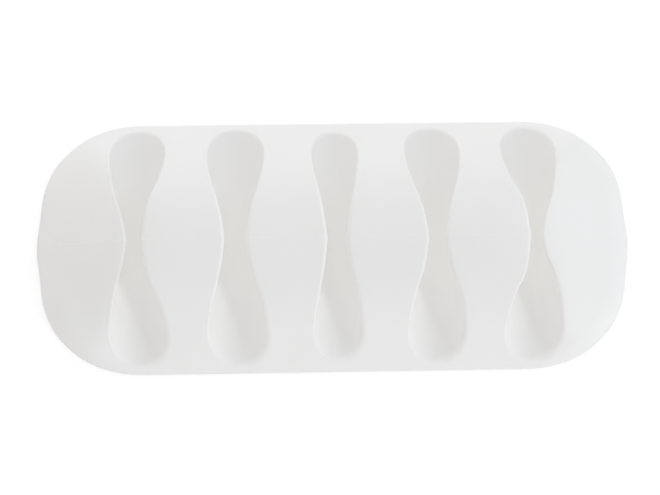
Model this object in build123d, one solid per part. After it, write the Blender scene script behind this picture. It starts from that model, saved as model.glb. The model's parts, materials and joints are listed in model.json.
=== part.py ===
"""Five-channel silicone cable organiser for a desk top.

A low domed silicone bar is cut across by five open-topped channels, which leaves six lobes.
A cable is pressed down between two lobes, through the slit, and is held in the channel below.
Each lobe flexes at its root, so it is a node of its own, hinged to the base strip along Y.
A double-sided foam pad is bonded into a shallow recess under the base.

Frame: X along the row of channels, Y along the channels, Z up. Millimetres.
Origin: centre of the footprint, on the adhesive face that sits on the desk.
"""

import math
import os

from build123d import *

# ---- driving dimensions -------------------------------------------------------------------
LENGTH = 66.0             # footprint along X
WIDTH = 28.0              # footprint along Y
HEIGHT = 9.0              # desk to ridge
CORNER_R = 10.4           # footprint corners, seen from above
EDGE_LAND = 0.4           # upright edge below the dome
END_HEIGHT = 2.8          # height that the sloping ridge would have at the two ends
END_MID = (27.3, 6.6)     # distance along X and height of a point on the sloping ridge
END_START = 20.6          # distance along X where the ridge starts to fall
LEAN_Z = 1.2              # height above which the ends and corners lean in
LEAN_DEG = 30.0           # how far they lean from upright

CHANNELS = 5
PITCH = 10.65             # channel to channel
BORE_R = 2.95             # channel radius, below its widest level
CENTRE_BORE_R = 2.70      # the middle channel is a little tighter
BORE_Z = 4.60             # height of the channels' widest level
BORE_RISE = 4.40          # from there to where the two walls would meet
SLIT = 2.40               # gap between two lips at the ridge

PAD_T = 0.8               # foam pad thickness
PAD_PROUD = 0.2           # how far the pad stands below the silicone
PAD_INSET = 2.2           # from the footprint's edge in to the recess
PAD_GAP = 0.05            # side clearance of the pad in its recess

ROOT_Z = 2.25             # top of the base strip between two channels
KNUCKLE_R = 0.6           # rounded foot that a lobe turns on
RELIEF_DEG = 9.0          # slope of a lobe's underside, a little more than its lean of 8 degrees
RUN_GAP = 0.03            # clearance under the rounded foot

# ---- derived ------------------------------------------------------------------------------
HALF_L = LENGTH / 2
HALF_W = WIDTH / 2
LAND_Z = PAD_PROUD + EDGE_LAND
HINGE_Z = ROOT_Z + RUN_GAP + KNUCKLE_R
RECESS_Z = PAD_T
CHANNEL_X = [(i - (CHANNELS - 1) / 2) * PITCH for i in range(CHANNELS)]
OVER = 1.0                # how far a cutting shape runs past what it cuts


def along_y(face):
    """A face drawn in the XZ plane, swept through the whole width."""
    return extrude(face, amount=HALF_W + OVER, both=True)


def prism(inset, bottom, top):
    """The footprint drawn in by inset, between two heights."""
    outline = RectangleRounded(LENGTH - 2 * inset, WIDTH - 2 * inset, CORNER_R - inset)
    return extrude(Plane.XY.offset(bottom) * outline, amount=top - bottom)


def leaning_sides():
    """The footprint with its sides leaning in, which takes the height off the ends' corners."""
    outline = RectangleRounded(LENGTH, WIDTH, CORNER_R)
    upper = extrude(Plane.XY.offset(LEAN_Z) * outline, amount=HEIGHT, taper=LEAN_DEG)
    return upper + prism(0, PAD_PROUD, LEAN_Z)


def dome():
    """The parabolic arch from one long edge over the ridge to the other, along the whole length."""
    # A quadratic Bezier peaks halfway up to its middle control point.
    peak = LAND_Z + 2 * (HEIGHT - LAND_Z)
    arch = Bezier((-HALF_W, LAND_Z), (0, peak), (HALF_W, LAND_Z))
    sides = Polyline((HALF_W, LAND_Z), (HALF_W, PAD_PROUD), (-HALF_W, PAD_PROUD), (-HALF_W, LAND_Z))
    return extrude(Plane.YZ * make_face([arch, sides]), amount=HALF_L + OVER, both=True)


def ridge_line():
    """The side outline: level over the channels, then falling to the two ends."""
    mid_x, mid_z = END_MID
    left = ThreePointArc((-HALF_L, END_HEIGHT), (-mid_x, mid_z), (-END_START, HEIGHT))
    level = Line((-END_START, HEIGHT), (END_START, HEIGHT))
    right = ThreePointArc((END_START, HEIGHT), (mid_x, mid_z), (HALF_L, END_HEIGHT))
    below = Polyline((HALF_L, END_HEIGHT), (HALF_L, PAD_PROUD), (-HALF_L, PAD_PROUD), (-HALF_L, END_HEIGHT))
    return along_y(Plane.XZ * make_face([left, level, right, below]))


def channel(centre_x, radius):
    """One channel with its slit: half round below, drawn in above, open at the top."""
    slit_angle = math.degrees(math.acos(SLIT / 2 / radius))
    slit_z = BORE_Z + BORE_RISE * math.sin(math.radians(slit_angle))
    top = HEIGHT + OVER
    right, left = centre_x + radius, centre_x - radius
    round_bottom = ThreePointArc((left, BORE_Z), (centre_x, BORE_Z - radius), (right, BORE_Z))
    centre = (centre_x, BORE_Z)
    right_wall = EllipticalCenterArc(centre, radius, BORE_RISE, 0, arc_size=slit_angle)
    left_wall = EllipticalCenterArc(centre, radius, BORE_RISE, 180 - slit_angle, arc_size=slit_angle)
    slit = Polyline(
        (centre_x + SLIT / 2, slit_z),
        (centre_x + SLIT / 2, top),
        (centre_x - SLIT / 2, top),
        (centre_x - SLIT / 2, slit_z),
    )
    return along_y(Plane.XZ * make_face([round_bottom, right_wall, slit, left_wall]))


def bore_radius(index):
    return CENTRE_BORE_R if index == CHANNELS // 2 else BORE_R


def root_edge(index, side):
    """Where a channel's wall crosses the top of the base strip, on its left (-1) or right (+1)."""
    reach = math.sqrt(bore_radius(index) ** 2 - (BORE_Z - ROOT_Z) ** 2)
    return CHANNEL_X[index] + side * reach


def lobe_span(number):
    """The two X limits of a lobe's root. Lobes are numbered from 1, at the left end."""
    low = -HALF_L if number == 1 else root_edge(number - 2, 1)
    high = HALF_L if number == CHANNELS + 1 else root_edge(number - 1, -1)
    return low, high


def lobe_zone(number):
    """Everything above a lobe's root: a rounded foot on the hinge line, and two rising slopes."""
    low, high = lobe_span(number)
    hinge_x = (low + high) / 2
    slope = math.radians(RELIEF_DEG)
    foot_x = KNUCKLE_R * math.sin(slope)
    foot_z = HINGE_Z - KNUCKLE_R * math.cos(slope)
    # Lobes lean out over their roots, so a zone reaches to the middle of each channel.
    left = -HALF_L - OVER if number == 1 else CHANNEL_X[number - 2]
    right = HALF_L + OVER if number == CHANNELS + 1 else CHANNEL_X[number - 1]
    top = HEIGHT + OVER
    foot = ThreePointArc(
        (hinge_x - foot_x, foot_z),
        (hinge_x, HINGE_Z - KNUCKLE_R),
        (hinge_x + foot_x, foot_z),
    )
    rest = Polyline(
        (hinge_x + foot_x, foot_z),
        (right, foot_z + (right - hinge_x - foot_x) * math.tan(slope)),
        (right, top),
        (left, top),
        (left, foot_z + (hinge_x - foot_x - left) * math.tan(slope)),
        (hinge_x - foot_x, foot_z),
    )
    return along_y(Plane.XZ * make_face([foot, rest]))


def silicone():
    """The whole moulding: the domed bar with its five channels cut through."""
    bar = leaning_sides() & dome() & ridge_line()
    for i, x in enumerate(CHANNEL_X):
        bar -= channel(x, bore_radius(i))
    return bar


def base_strip(moulding):
    """The web under the channels, with the pad's recess in its underside."""
    return (moulding & prism(-OVER, 0, ROOT_Z)) - prism(PAD_INSET, 0, RECESS_Z)


def save(name, shape):
    shape.label = name
    export_step(shape, f"parts/{name}.step")


def main():
    os.makedirs("parts", exist_ok=True)
    moulding = silicone()
    save("base", base_strip(moulding))
    for number in range(1, CHANNELS + 2):
        save(f"lobe_{number}", moulding & lobe_zone(number))
        low, high = lobe_span(number)
        print(f"lobe_{number}: hinge x {(low + high) / 2:.3f} z {HINGE_Z:.3f}")
    save("adhesive_pad", prism(PAD_INSET + PAD_GAP, 0, PAD_T))


main()
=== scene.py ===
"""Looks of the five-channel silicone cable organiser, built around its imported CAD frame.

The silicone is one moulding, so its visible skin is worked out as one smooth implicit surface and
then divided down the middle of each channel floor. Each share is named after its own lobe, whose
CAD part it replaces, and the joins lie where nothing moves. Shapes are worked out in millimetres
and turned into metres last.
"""

import json
import math

import bmesh
import bpy
import numpy as np
from mathutils import Matrix, Vector


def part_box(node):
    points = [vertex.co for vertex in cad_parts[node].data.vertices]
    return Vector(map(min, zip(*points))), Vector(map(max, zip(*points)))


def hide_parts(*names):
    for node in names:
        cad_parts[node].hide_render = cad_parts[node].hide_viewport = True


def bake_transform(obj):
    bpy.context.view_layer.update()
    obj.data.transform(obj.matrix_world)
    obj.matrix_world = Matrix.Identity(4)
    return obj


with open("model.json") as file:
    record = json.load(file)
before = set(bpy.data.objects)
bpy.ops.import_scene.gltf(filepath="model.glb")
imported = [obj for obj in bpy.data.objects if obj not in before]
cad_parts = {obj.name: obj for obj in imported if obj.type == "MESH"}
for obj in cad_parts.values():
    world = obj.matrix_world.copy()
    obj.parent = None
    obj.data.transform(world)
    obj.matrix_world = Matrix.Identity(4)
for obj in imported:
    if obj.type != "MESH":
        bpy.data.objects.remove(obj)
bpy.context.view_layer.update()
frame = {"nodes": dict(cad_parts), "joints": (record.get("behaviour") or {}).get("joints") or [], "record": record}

MM = 0.001

# ---- sizes read from the frame, in millimetres ----------------------------------------------
record = frame["record"]
channels = [m for m in record["mounts"] if m["name"].startswith("cable_channel")]
CHANNEL_X = [m["pos_m"][0] / MM for m in channels]
BORE_R = [m["dims"]["r_mm"] for m in channels]
BORE_Z = channels[0]["pos_m"][2] / MM
LOBES = [j["child"] for j in frame["joints"]]
low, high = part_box("base")
HALF_L, HALF_W = high.x / MM, high.y / MM
UNDERSIDE = low.z / MM
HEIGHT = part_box(LOBES[2])[1].z / MM  # a middle lobe reaches the full height
_, pad_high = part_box("adhesive_pad")
PAD_HALF_L, PAD_HALF_W, PAD_T = pad_high.x / MM, pad_high.y / MM, pad_high.z / MM

# ---- sizes of the silicone's surface, in millimetres ----------------------------------------
OUTLINE_HALF_L = 32.5     # footprint without the ends' bellies
CORNER_R = 10.4           # footprint corners
LAND_Z = 0.6              # where the dome starts, above the desk
END_BULGE = 0.5           # how far the two ends belly out in plan
END_BULGE_HALF = 4.6      # half the width of that belly
END_BULGE_POWER = 8       # how quickly the belly dies away from an end inwards
END_START = 20.6          # where the ridge starts to fall towards an end
END_CENTRE = (14.2, -19.4)  # centre of the arc that the ridge follows down to an end
END_REACH = 0.97          # how far out that arc runs, as a share of its radius
END_SOFT = 3.0            # this far in from an end, the creases are already at their softest
HIP, HIP_END = 1.1, 7.5   # softness of the creases between the dome and an end slope
BRIM, BRIM_END = 0.7, 2.9  # softness of the edge above the upright sides, and round the ends
FOOT = 0.12               # softness of the bottom edge
RECESS_EDGE = 0.06        # softness of the edge round the pad's recess
RECESS_CORNER_IN = 2      # how much tighter the recess's corners are than the footprint's
LIP, MOUTH_LIP = 0.50, 0.22  # rounding of the channels' lips at the ridge, and at their mouths
LIP_FADE = (0.25, 0.7)    # where one lip rounding gives way to the other, in half widths
NEAR_LIP = 0.45           # more rounding on the right of each near mouth
NEAR_FADE = (0.1, 0.5)    # where that sets in towards the near edge, in half widths
SHIFT = [-0.05, -0.05, 0.1, 0.1, 0.0]  # how far each channel lies to the right of its mark
SPARE = [-0.1, 0.0, -0.3, -0.1, -0.1]  # how much larger its radius is than its mark's
BORE_LIFT = 0.18          # the channels' widest level, above the collision model's
BORE_RISE = [3.6, 4.2, 4.2, 4.1, 3.6]  # from each widest level to where its walls would meet
DRAFT = 0.028             # a channel widens this much for each mm away from the parting line
SLIT_HALF = [0.7, 1.1, 1.0, 0.85, 0.5]  # least half gap between each pair of lips
SLIT_DRAFT = 0.10         # a slit widens this much for each mm away from the parting line
THROAT = 0.5              # softness where a slit opens into its channel
FLASH_H, FLASH_W = 0.02, 0.09  # the moulding line along the ridge
PAD_GAP = 0.05            # gap round the foam pad in its recess
CELL = 0.17               # spacing of the surface's mesh
FINE_CELL = 0.045         # spacing across the moulding line
FINE_ROWS = 6             # rows at that spacing on each side of the line
MARGIN, END_MARGIN = 2, 3  # cells of empty space kept round the bar, and past its two ends
UNDER_MARGIN = 2.3        # the same below it, which keeps the underside between two levels
JOIN_REACH = 0.51         # a vertex this many cells from a join's plane belongs to the join
SETTLE_PASSES = 4         # how often each vertex is moved onto the surface
LEAST_SLOPE = 0.3         # a channel's distance is divided by no less than this
LEAST_SLOPE_SQUARED = 0.05  # and a vertex's move by no less than this
TINY = 1e-6               # keeps a division from failing, and tells what lies in a plane
FACES_ALONG_X = 0.999     # least X part of the normal of a wall in a join's plane

# ---- looks ----------------------------------------------------------------------------------
SILICONE_DARK, SILICONE_LIGHT = (0.956, 0.949, 0.930, 1), (0.972, 0.966, 0.950, 1)
SILICONE_ROUGH = (0.50, 0.62)
SILICONE_IOR = 1.41
FOAM_DARK, FOAM_LIGHT = (0.62, 0.62, 0.60, 1), (0.80, 0.80, 0.78, 1)
FOAM_ROUGH = 0.75
FLOOR_WHITE = (0.90, 0.90, 0.90, 1)
FLOOR_ROUGH = 0.9
FLOOR_GLOW = 0.35         # what only the camera sees, on top of the lit floor
FLOOR_HALF = 1.5          # metres
TENT_LOW, TENT_TOP = 0.99, 0.525
TENT_LEFT, TENT_RIGHT = (0.996, 0.970, 0.962, 1), (0.949, 0.988, 1.036, 1)
LIGHT_TARGET = (0, 0, 0.004)  # the lamps point at the middle of the bar, in metres
DIFFUSE_BOUNCES = 12      # white channels stay bright inside only with many bounces

# ---- camera ---------------------------------------------------------------------------------
CAMERA_DISTANCE = 171.8   # millimetres
CAMERA_TILT, CAMERA_PAN, CAMERA_ROLL = 6.73, 1.75, 0.99  # degrees
CAMERA_SHIFT = (0.43, 0.04)  # how far the bar lies off the camera's axis, in millimetres
SENSOR_W = 36.0           # millimetres
FOCAL_PX, IMAGE_W = 1541.0, 660.0  # focal length in pixels, and the width of the picture
CLIP_START = 0.005        # metres


def smooth_min(a, b, k):
    """The smaller of two values, with the crease between them rounded over k."""
    h = np.clip(0.5 + 0.5 * (b - a) / k, 0, 1)
    return b + (a - b) * h - k * h * (1 - h)


def smooth_max(a, b, k):
    return -smooth_min(-a, -b, k)


def smooth_step(start, stop, value):
    t = np.clip((value - start) / (stop - start), 0, 1)
    return t * t * (3 - 2 * t)


def rounded_rectangle(x, y, half_l, half_w, radius):
    """Signed distance to a rounded rectangle in plan, negative inside."""
    qx = np.abs(x) - half_l + radius
    qy = np.abs(y) - half_w + radius
    outside = np.hypot(np.maximum(qx, 0), np.maximum(qy, 0))
    return outside + np.minimum(np.maximum(qx, qy), 0) - radius


def end_slope(x):
    """Height of the surface that falls to the two ends, and its slope."""
    cx, cz = END_CENTRE
    radius = math.hypot(END_START - cx, HEIGHT - cz)
    run = np.clip(np.abs(x) - cx, END_START - cx, END_REACH * radius)
    arc = cz + np.sqrt(radius**2 - run**2)
    steep = -run / np.sqrt(radius**2 - run**2)
    return arc + np.minimum(np.abs(x) - END_START, 0) * steep, steep


def bar(x, y, z):
    """The domed bar before the channels are cut. Negative inside."""
    rise = HEIGHT - LAND_Z
    dome = LAND_Z + rise * (1 - (y / HALF_W) ** 2)
    end, end_steep = end_slope(x)
    out = smooth_step(END_START, HALF_L - END_SOFT, np.abs(x))
    top = smooth_min(dome, end, HIP + (HIP_END - HIP) * out)
    top = top + FLASH_H * np.exp(-((y / FLASH_W) ** 2))
    steep = np.where(dome < end, 2 * rise * y / HALF_W**2, end_steep)
    above = (z - top) / np.sqrt(1 + steep**2)
    belly = END_BULGE * np.cos(np.clip(y / END_BULGE_HALF, -1, 1) * math.pi / 2) ** 2
    belly = belly * (np.abs(x) / HALF_L) ** END_BULGE_POWER
    outline = rounded_rectangle(x, y, OUTLINE_HALF_L, HALF_W, CORNER_R) - belly
    body = smooth_max(above, outline, BRIM + (BRIM_END - BRIM) * out)
    return smooth_max(body, UNDERSIDE - z, FOOT)


def channel(x, y, z, index):
    """One channel with its slit. Negative inside the open space."""
    dx = np.abs(x - CHANNEL_X[index] - SHIFT[index])
    dz = z - BORE_Z - BORE_LIFT
    widest = BORE_R[index] + SPARE[index]
    radius = widest + DRAFT * (np.abs(y) - HALF_W / 2)
    stretch = np.where(dz > 0, BORE_RISE[index] / widest, 1.0)
    reach = np.hypot(dx, dz / stretch)
    slope = np.sqrt(dx**2 + (dz / stretch**2) ** 2) / np.maximum(reach, TINY)
    bore = (reach - radius) / np.maximum(slope, LEAST_SLOPE)
    half_gap = SLIT_HALF[index] + SLIT_DRAFT * np.abs(y)
    slit = np.where(dz > 0, dx - half_gap, np.hypot(dx - half_gap, dz))
    return smooth_min(bore, slit, THROAT)


def recess(x, y, z):
    """The shallow pocket for the foam pad in the underside."""
    corner_r = CORNER_R - RECESS_CORNER_IN
    plan = rounded_rectangle(x, y, PAD_HALF_L + PAD_GAP, PAD_HALF_W + PAD_GAP, corner_r)
    return np.maximum(plan, z - PAD_T)


def silicone(x, y, z):
    """The whole moulding. Negative inside."""
    body = bar(x, y, z)
    to_mouth = smooth_step(LIP_FADE[0] * HALF_W, LIP_FADE[1] * HALF_W, np.abs(y))
    lip = LIP + (MOUTH_LIP - LIP) * to_mouth
    near = smooth_step(NEAR_FADE[0] * HALF_W, NEAR_FADE[1] * HALF_W, -y)
    for index in range(len(CHANNEL_X)):
        right = smooth_step(0, BORE_R[index] / 2, x - CHANNEL_X[index])
        body = smooth_max(body, -channel(x, y, z, index), lip + NEAR_LIP * near * right)
    return smooth_max(body, -recess(x, y, z), RECESS_EDGE)


def gradient(p, step=0.01):
    """The direction in which the implicit value grows, at each point."""
    parts = []
    for axis in range(3):
        d = np.zeros(3)
        d[axis] = step
        parts.append(silicone(*(p + d).T) - silicone(*(p - d).T))
    return np.stack(parts, axis=1) / (2 * step)


# ---- from the implicit surface to meshes ----------------------------------------------------
def spaced(start, stop, cell):
    return np.linspace(start, stop, max(2, round((stop - start) / cell) + 1))


def rows_across():
    """Y positions of the mesh's rows, closer together over the moulding line."""
    half_fine = FINE_ROWS * FINE_CELL
    outer = spaced(half_fine, HALF_W + MARGIN * CELL, CELL)
    fine = spaced(-half_fine, half_fine, FINE_CELL)
    return np.concatenate([-outer[::-1], fine[1:-1], outer])


def columns(number):
    """X positions for one lobe. A column that holds a join is one cell wide and centred on it."""
    first, last = number == 0, number == len(CHANNEL_X)
    start = -HALF_L - END_MARGIN * CELL if first else CHANNEL_X[number - 1] + CELL / 2
    stop = HALF_L + END_MARGIN * CELL if last else CHANNEL_X[number] - CELL / 2
    inner = spaced(start, stop, CELL)
    before = [] if first else [start - CELL]
    after = [] if last else [stop + CELL]
    return np.concatenate([before, inner, after])


def surface_net(xs, ys, zs):
    """One vertex in each cell that the surface crosses, and a quad round each crossed grid edge."""
    value = silicone(*np.meshgrid(xs, ys, zs, indexing="ij"))
    inside = value < 0
    shape = tuple(n - 1 for n in value.shape)
    total = np.zeros(shape + (3,))
    count = np.zeros(shape)
    grid = (xs, ys, zs)
    faces = []

    def part(array, offsets):
        return array[tuple(slice(o, o + n) for o, n in zip(offsets, shape))]

    for axis in range(3):
        others = [a for a in range(3) if a != axis]
        for corner in ((0, 0), (0, 1), (1, 0), (1, 1)):
            offset = [0, 0, 0]
            offset[others[0]], offset[others[1]] = corner
            far = list(offset)
            far[axis] = 1
            v0, v1 = part(value, offset), part(value, far)
            crossed = (v0 < 0) != (v1 < 0)
            share = np.where(crossed, v0 / np.where(crossed, v0 - v1, 1), 0)
            for a in range(3):
                where = [slice(None) if b == a else None for b in range(3)]
                here = grid[a][offset[a] : offset[a] + shape[a]][tuple(where)]
                if a == axis:
                    there = grid[a][1 : 1 + shape[a]][tuple(where)]
                    here = here + share * (there - here)
                total[..., a] += np.where(crossed, here, 0)
            count += crossed
    used = count > 0
    index = np.full(shape, -1)
    index[used] = np.arange(used.sum())
    points = total[used] / count[used][:, None]

    for axis in range(3):
        a, b = (axis + 1) % 3, (axis + 2) % 3
        near = [slice(None)] * 3
        far = [slice(None)] * 3
        near[axis], far[axis] = slice(0, -1), slice(1, None)
        crossed = inside[tuple(near)] != inside[tuple(far)]
        outward = inside[tuple(near)]
        spots = np.argwhere(crossed)
        keep_a = (spots[:, a] > 0) & (spots[:, a] < shape[a])
        keep = keep_a & (spots[:, b] > 0) & (spots[:, b] < shape[b])
        spots = spots[keep]
        ring = []
        for da, db in ((-1, -1), (0, -1), (0, 0), (-1, 0)):
            cell = spots.copy()
            cell[:, a] += da
            cell[:, b] += db
            ring.append(index[tuple(cell.T)])
        quad = np.stack(ring, axis=1)
        flip = ~outward[tuple(spots.T)]
        quad[flip] = quad[flip][:, ::-1]
        faces.append(quad)
    return points, np.concatenate(faces)


def settle(points, joins):
    """Moves each vertex onto the surface. A vertex on a join stays in the join's plane."""
    fixed = np.zeros(len(points), bool)
    for x in joins:
        on_join = np.abs(points[:, 0] - x) < JOIN_REACH * CELL
        points[on_join, 0] = x
        fixed |= on_join
    for _ in range(SETTLE_PASSES):
        slope = gradient(points)
        slope[fixed, 0] = 0
        length = np.maximum((slope**2).sum(axis=1), LEAST_SLOPE_SQUARED)
        move = slope * (silicone(*points.T) / length)[:, None]
        points = points - np.clip(move, -CELL, CELL)
    return points


def cap_joins(mesh, joins):
    """Closes a share of the skin with a flat wall at each join."""
    bm = bmesh.new()
    bm.from_mesh(mesh)
    for x in joins:
        rim = [e for e in bm.edges if e.is_boundary and abs(e.verts[0].co.x - x * MM) < TINY]
        bmesh.ops.holes_fill(bm, edges=rim, sides=0)
    bm.normal_update()
    bm.to_mesh(mesh)
    bm.free()


def set_normals(mesh, joins):
    """Shading normals from the implicit surface itself, so that no join shows."""
    points = np.empty(len(mesh.vertices) * 3)
    mesh.vertices.foreach_get("co", points)
    smooth = gradient(points.reshape(-1, 3) / MM)
    smooth /= np.linalg.norm(smooth, axis=1)[:, None]
    corner_vertex = np.empty(len(mesh.loops), int)
    mesh.loops.foreach_get("vertex_index", corner_vertex)
    normals = smooth[corner_vertex]
    for face in mesh.polygons:
        in_join = any(abs(face.center.x - x * MM) < TINY for x in joins)
        if in_join and abs(face.normal.x) > FACES_ALONG_X:
            normals[face.loop_start : face.loop_start + face.loop_total] = face.normal
    mesh.normals_split_custom_set(normals)


def silicone_share(number):
    """The skin of one lobe with its share of the web under the channels."""
    xs, ys = columns(number), rows_across()
    zs = spaced(UNDERSIDE - UNDER_MARGIN * CELL, HEIGHT + MARGIN * CELL, CELL)
    points, faces = surface_net(xs, ys, zs)
    joins = [x for x in CHANNEL_X if xs[0] < x < xs[-1]]
    points = settle(points, joins)
    mesh = bpy.data.meshes.new(f"silicone_{LOBES[number]}")
    mesh.from_pydata((points * MM).tolist(), [], faces.tolist())
    mesh.validate()
    cap_joins(mesh, joins)
    mesh.polygons.foreach_set("use_smooth", np.ones(len(mesh.polygons), bool))
    set_normals(mesh, joins)
    piece = bpy.data.objects.new(mesh.name, mesh)
    bpy.context.scene.collection.objects.link(piece)
    return piece


# ---- materials ------------------------------------------------------------------------------
def new_material(name):
    material = bpy.data.materials.new(name)
    material.use_nodes = True
    tree = material.node_tree
    return material, tree, tree.nodes["Principled BSDF"]


def add(tree, kind, **settings):
    """A node with its settings. A setting named after an input sets that input's value."""
    node = tree.nodes.new(kind)
    for key, value in settings.items():
        if key in node.inputs:
            node.inputs[key].default_value = value
        else:
            setattr(node, key, value)
    return node


def silicone_material():
    material, tree, shader = new_material("white_silicone")
    link = tree.links.new
    place = add(tree, "ShaderNodeTexCoord")
    cloud = add(tree, "ShaderNodeTexNoise", Scale=160.0, Detail=4.0, Roughness=0.6)
    link(place.outputs["Object"], cloud.inputs["Vector"])
    tint = add(tree, "ShaderNodeValToRGB")
    tint.color_ramp.elements[0].position = 0.3
    tint.color_ramp.elements[0].color = SILICONE_DARK
    tint.color_ramp.elements[1].position = 0.7
    tint.color_ramp.elements[1].color = SILICONE_LIGHT
    link(cloud.outputs["Fac"], tint.inputs["Fac"])
    link(tint.outputs["Color"], shader.inputs["Base Color"])

    grain = add(tree, "ShaderNodeTexNoise", Scale=9000.0, Detail=3.0)
    link(place.outputs["Object"], grain.inputs["Vector"])
    rough = add(tree, "ShaderNodeMapRange")
    rough.inputs["To Min"].default_value = SILICONE_ROUGH[0]
    rough.inputs["To Max"].default_value = SILICONE_ROUGH[1]
    link(cloud.outputs["Fac"], rough.inputs["Value"])
    link(rough.outputs["Result"], shader.inputs["Roughness"])
    bump = add(tree, "ShaderNodeBump", Strength=0.08, Distance=0.00002)
    link(grain.outputs["Fac"], bump.inputs["Height"])
    link(bump.outputs["Normal"], shader.inputs["Normal"])
    shader.inputs["IOR"].default_value = SILICONE_IOR
    return material


def foam_material():
    material, tree, shader = new_material("foam_tape")
    link = tree.links.new
    place = add(tree, "ShaderNodeTexCoord")
    cells = add(tree, "ShaderNodeTexVoronoi", Scale=3500.0)
    link(place.outputs["Object"], cells.inputs["Vector"])
    tint = add(tree, "ShaderNodeValToRGB")
    tint.color_ramp.elements[0].color = FOAM_DARK
    tint.color_ramp.elements[1].color = FOAM_LIGHT
    link(cells.outputs["Distance"], tint.inputs["Fac"])
    link(tint.outputs["Color"], shader.inputs["Base Color"])
    bump = add(tree, "ShaderNodeBump", Strength=0.4, Distance=0.00004)
    link(cells.outputs["Distance"], bump.inputs["Height"])
    link(bump.outputs["Normal"], shader.inputs["Normal"])
    shader.inputs["Roughness"].default_value = FOAM_ROUGH
    return material


def floor_material():
    """A white sweep. The camera sees it a little brighter than it is lit, so it reads as white."""
    material, tree, shader = new_material("white_sweep")
    link = tree.links.new
    shader.inputs["Base Color"].default_value = FLOOR_WHITE
    shader.inputs["Roughness"].default_value = FLOOR_ROUGH
    rays = add(tree, "ShaderNodeLightPath")
    glow = add(tree, "ShaderNodeEmission")
    strength = add(tree, "ShaderNodeMath", operation="MULTIPLY")
    strength.inputs[1].default_value = FLOOR_GLOW
    link(rays.outputs["Is Camera Ray"], strength.inputs[0])
    link(strength.outputs["Value"], glow.inputs["Strength"])
    both = add(tree, "ShaderNodeAddShader")
    link(shader.outputs["BSDF"], both.inputs[0])
    link(glow.outputs["Emission"], both.inputs[1])
    link(both.outputs["Shader"], tree.nodes["Material Output"].inputs["Surface"])
    return material


# ---- the stage ------------------------------------------------------------------------------
def make_camera():
    """A camera nearly overhead, leaning a little towards the near long edge."""
    tilt, pan, roll = (math.radians(a) for a in (CAMERA_TILT, CAMERA_PAN, CAMERA_ROLL))
    turn = Matrix.Rotation(roll, 3, "Z") @ Matrix.Rotation(-tilt, 3, "X")
    turn = turn @ Matrix.Rotation(pan, 3, "Y")
    back = turn.transposed()
    place = back @ Vector((-CAMERA_SHIFT[0], -CAMERA_SHIFT[1], CAMERA_DISTANCE)) * MM
    data = bpy.data.cameras.new("camera")
    data.sensor_width = SENSOR_W
    data.lens = SENSOR_W * FOCAL_PX / IMAGE_W
    data.clip_start = CLIP_START
    camera = bpy.data.objects.new("camera", data)
    camera.matrix_world = Matrix.Translation(place) @ back.to_4x4()
    bpy.context.scene.collection.objects.link(camera)
    bpy.context.scene.camera = camera


def area_light(name, place, size, watts):
    data = bpy.data.lights.new(name, "AREA")
    data.shape = "DISK"
    data.size = size
    data.energy = watts
    light = bpy.data.objects.new(name, data)
    light.location = place
    light.rotation_euler = (Vector(LIGHT_TARGET) - Vector(place)).to_track_quat("-Z", "Y").to_euler()
    bpy.context.scene.collection.objects.link(light)


def light_tent(tree):
    """Pale all round, paler low down than overhead, and warmer on the left than on the right.

    The camera sees plain white instead, as it would behind a cut-out."""
    link = tree.links.new
    place = add(tree, "ShaderNodeTexCoord")
    split = add(tree, "ShaderNodeSeparateXYZ")
    link(place.outputs["Generated"], split.inputs["Vector"])
    level = add(tree, "ShaderNodeMapRange")
    level.inputs["To Min"].default_value = TENT_LOW
    level.inputs["To Max"].default_value = TENT_TOP
    link(split.outputs["Z"], level.inputs["Value"])
    side = add(tree, "ShaderNodeMapRange")
    side.inputs["From Min"].default_value = -1.0
    link(split.outputs["X"], side.inputs["Value"])
    tint = add(tree, "ShaderNodeMix", data_type="RGBA")
    tint.inputs["A"].default_value = TENT_LEFT
    tint.inputs["B"].default_value = TENT_RIGHT
    link(side.outputs["Result"], tint.inputs["Factor"])
    tent = tree.nodes["Background"]
    link(tint.outputs["Result"], tent.inputs["Color"])
    link(level.outputs["Result"], tent.inputs["Strength"])
    white = add(tree, "ShaderNodeBackground")
    white.inputs["Color"].default_value = (1, 1, 1, 1)
    rays = add(tree, "ShaderNodeLightPath")
    choice = add(tree, "ShaderNodeMixShader")
    link(rays.outputs["Is Camera Ray"], choice.inputs["Fac"])
    link(tent.outputs["Background"], choice.inputs[1])
    link(white.outputs["Background"], choice.inputs[2])
    link(choice.outputs["Shader"], tree.nodes["World Output"].inputs["Surface"])


def make_stage():
    mesh = bpy.data.meshes.new("floor")
    half = FLOOR_HALF
    corners = [(-half, -half, 0), (half, -half, 0), (half, half, 0), (-half, half, 0)]
    mesh.from_pydata(corners, [], [(0, 1, 2, 3)])
    floor = bpy.data.objects.new("floor", mesh)
    floor.data.materials.append(floor_material())
    bpy.context.scene.collection.objects.link(floor)
    world = bpy.data.worlds.new("studio")
    world.use_nodes = True
    light_tent(world.node_tree)
    bpy.context.scene.world = world
    area_light("softbox", place=(0.45, 0.35, 0.45), size=0.5, watts=0.38)
    area_light("low_lamp", place=(0.42, -0.42, 0.20), size=0.06, watts=0.56)
    area_light("far_lamp", place=(-0.1, 0.6, 0.17), size=0.4, watts=0.55)
    area_light("top_lamp", place=(0.03, -0.08, 0.70), size=0.25, watts=0.13)
    bpy.context.scene.view_settings.view_transform = "Standard"
    bpy.context.scene.cycles.diffuse_bounces = DIFFUSE_BOUNCES


# ---- the object -----------------------------------------------------------------------------
def build():
    skin = silicone_material()
    for number, lobe in enumerate(LOBES):
        piece = silicone_share(number)
        piece.data.materials.append(skin)
        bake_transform(piece)
        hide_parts(lobe, "base")
    pad = frame["nodes"]["adhesive_pad"]
    pad.data.materials.clear()
    pad.data.materials.append(foam_material())


make_camera()
make_stage()
build()
